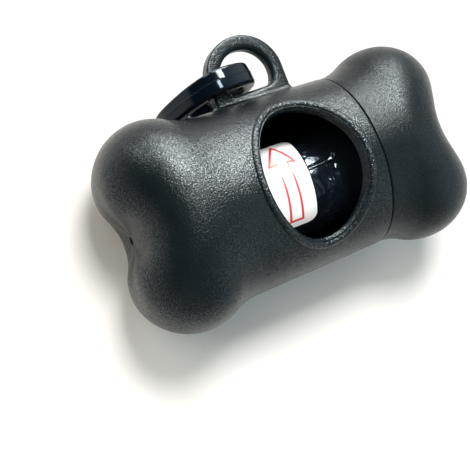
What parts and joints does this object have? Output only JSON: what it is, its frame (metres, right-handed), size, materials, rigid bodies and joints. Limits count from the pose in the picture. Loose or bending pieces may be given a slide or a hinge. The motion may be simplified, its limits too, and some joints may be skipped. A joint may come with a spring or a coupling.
{
  "type": "dog waste bag dispenser",
  "caption": "Bone-shaped holder for a roll of waste bags, with an oval window that bags are pulled through, a pull-off end cap, a hang loop and a snap clip.",
  "frame": {"origin": "mouth of the small hole in the closed end, on the bone's axis", "axes": "+X along the bone's axis from the closed end to the cap, +Y towards the hang loop, +Z out of the window; it lies on its back, on -Z"},
  "size_m": [0.0829, 0.0593, 0.0421],
  "materials": {
    "shell_plastic": "fine grained matt black",
    "clip_plastic": "smooth glossy black",
    "cardboard": "plain cardboard",
    "bag_film": "thin glossy black film",
    "label_paper": "plain white paper"
  },
  "bodies": {
    "shell": {"body_shell": "shell_plastic"},
    "cap": {"end_cap": "shell_plastic"},
    "clip": {"clip_frame": "clip_plastic", "gate_pin": "clip_plastic"},
    "gate": {"clip_gate": "clip_plastic"},
    "roll": {"roll_core": "cardboard", "bag_roll": "bag_film", "roll_label": "label_paper", "loose_bag_end": "bag_film"}
  },
  "joints": [
    {"name": "cap_pull", "type": "slide", "parent": "shell", "child": "cap", "axis": [1, 0, 0], "range_m": [0, 0.03]},
    {"name": "roll_spin", "type": "hinge", "parent": "shell", "child": "roll", "pos_m": [0.0344, -0.00119, -0.00475], "axis": [1, 0, 0], "continuous": true},
    {"name": "clip_swing", "type": "hinge", "parent": "shell", "child": "clip", "pos_m": [0.03065, 0.02555, 0], "axis": [-0.064, 0.9894, -0.1305], "range_deg": [-44, 20]},
    {"name": "gate_open", "type": "hinge", "parent": "clip", "child": "gate", "pos_m": [0.03471, 0.02378, -0.01535], "axis": [0.064, -0.9894, 0.1305], "range_deg": [0, 28], "stiffness_Nm_per_rad": 0.004, "springref_deg": -11.46}
  ]
}
